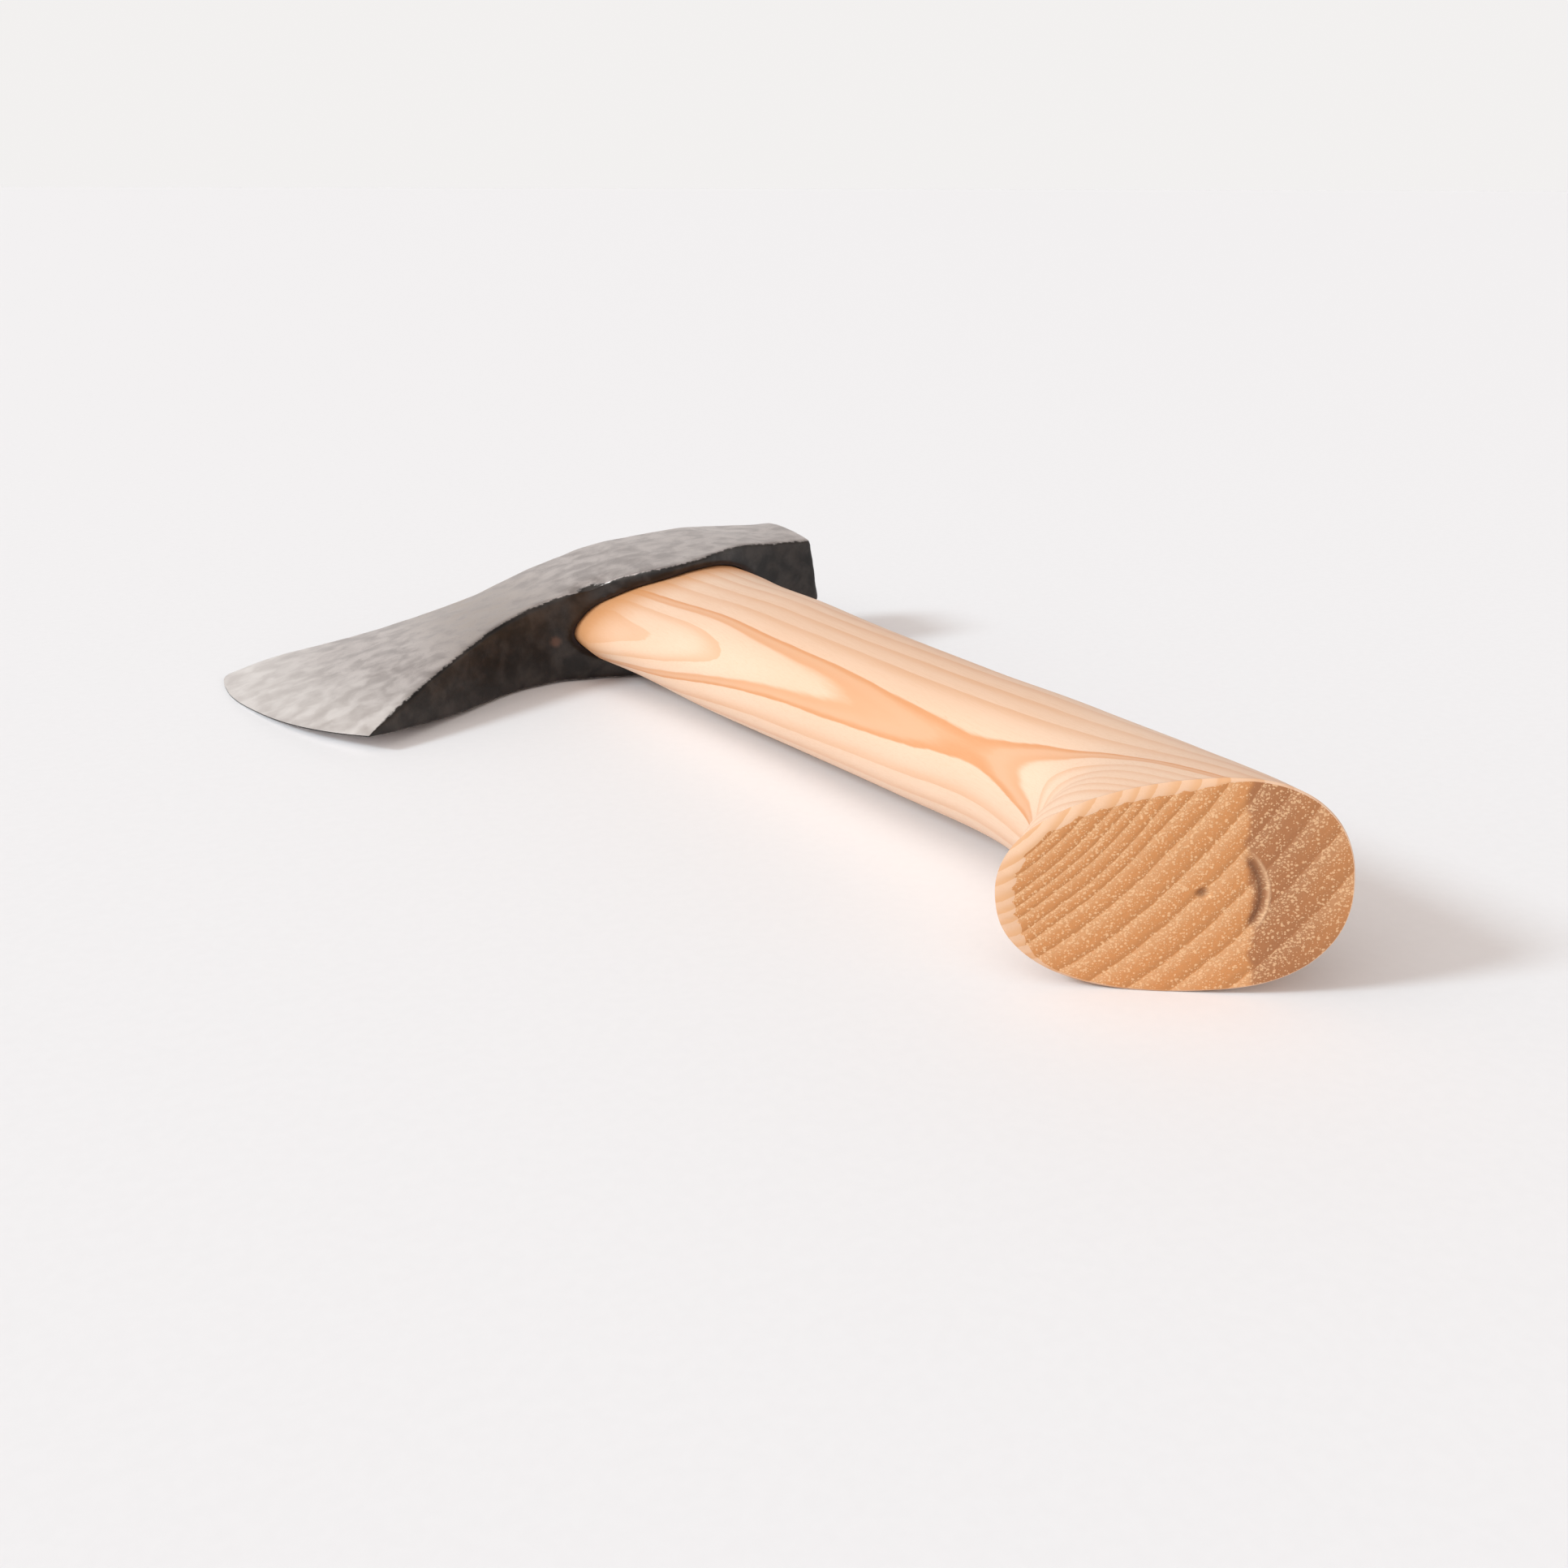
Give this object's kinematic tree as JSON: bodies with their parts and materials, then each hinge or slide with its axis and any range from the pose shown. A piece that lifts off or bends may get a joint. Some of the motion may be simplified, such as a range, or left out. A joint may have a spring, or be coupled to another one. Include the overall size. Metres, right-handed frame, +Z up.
{
  "type": "hatchet",
  "caption": "Short hatchet lying on its side: forged steel head with a bearded bit and a flat poll on a curved wooden haft with a slanted knob, fixed by wedges.",
  "frame": {"origin": "centre of the bounding box seen from above, on the surface that the hatchet lies on", "axes": "+Y along the haft from the knob to the head, -X towards the cutting edge, +X towards the poll, +Z up; the hatchet rests on the knob, the lower cheek and the cutting edge, so the blade's middle plane is rolled 7.7 degrees about Y and tilted 0.6 degrees about X"},
  "size_m": [0.1418, 0.242, 0.0338],
  "materials": {
    "forged_steel": "forged satin steel, dark on the underside and brighter where the bit is ground",
    "haft_wood": "fine-sanded pale wood with a light oil, bare end grain at the knob",
    "wedge_wood": "bare darker hardwood",
    "wedge_steel": "plain pressed steel"
  },
  "bodies": {
    "root": {"head": "forged_steel", "haft": "haft_wood", "wood_wedge": "wedge_wood", "steel_wedge": "wedge_steel"}
  },
  "joints": []
}
